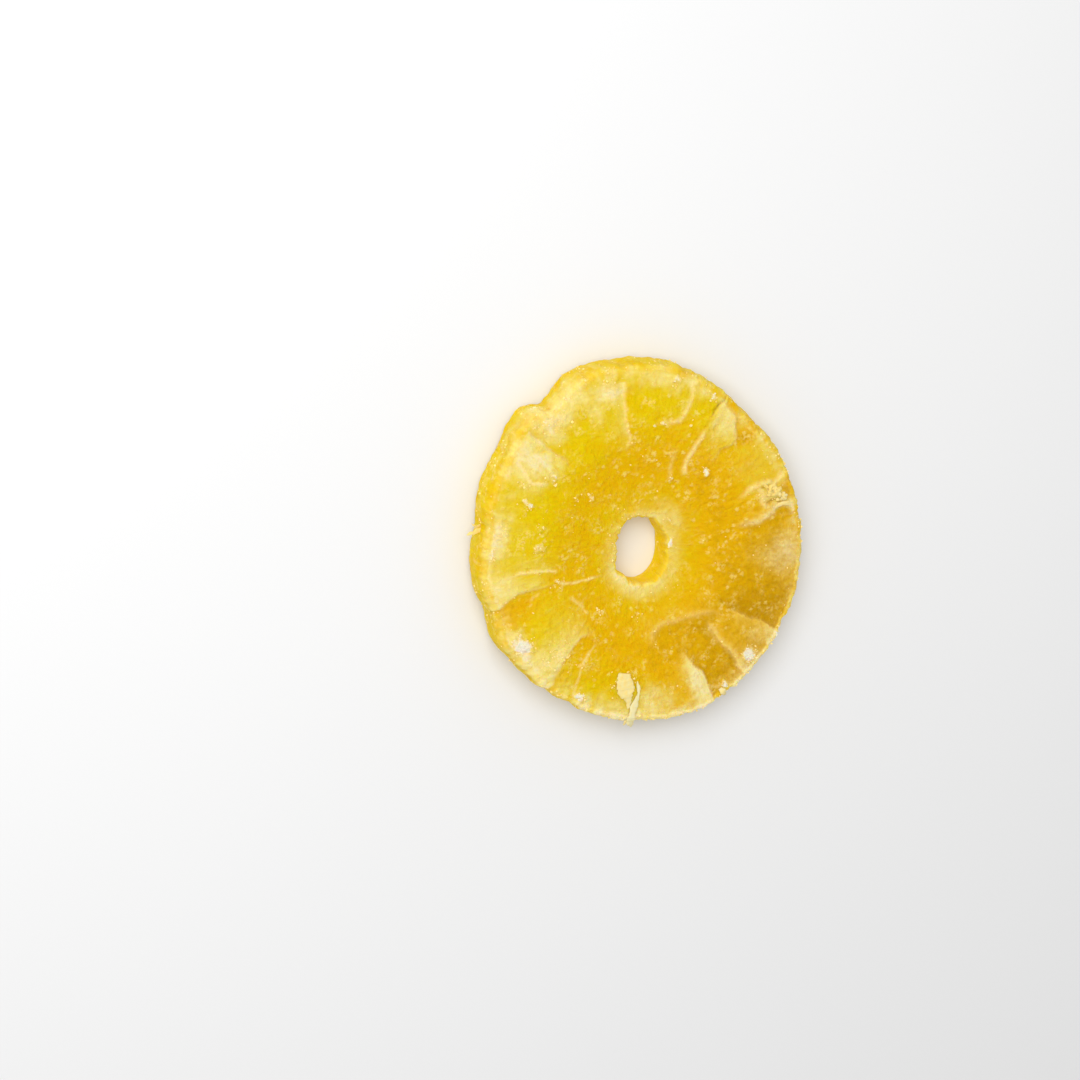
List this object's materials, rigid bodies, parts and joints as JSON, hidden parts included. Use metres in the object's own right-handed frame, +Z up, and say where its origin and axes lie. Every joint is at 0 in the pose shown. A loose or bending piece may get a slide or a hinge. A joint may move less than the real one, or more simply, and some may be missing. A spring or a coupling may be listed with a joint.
{
  "type": "candied pineapple ring",
  "caption": "Flat round ring of candied pineapple with the core's hole through it, seamed like fruitlets, rough at the rim and dusted with sugar.",
  "frame": {"origin": "centre of the ring's box, on the flat underside that it rests on", "axes": "+Z up through the hole, out of the seamed upper face; the ring is slightly longer along +Y than along +X"},
  "size_m": [0.0766, 0.0818, 0.0108],
  "materials": {
    "flesh": "translucent golden-yellow candied flesh, satin, paler and frosted with fine sugar towards the rim",
    "sugar": "small off-white sugar grains, slightly glassy",
    "fibre": "dry cream-white shreds of torn fruit fibre"
  },
  "bodies": {
    "root": {"pineapple_ring": "flesh"}
  },
  "joints": []
}
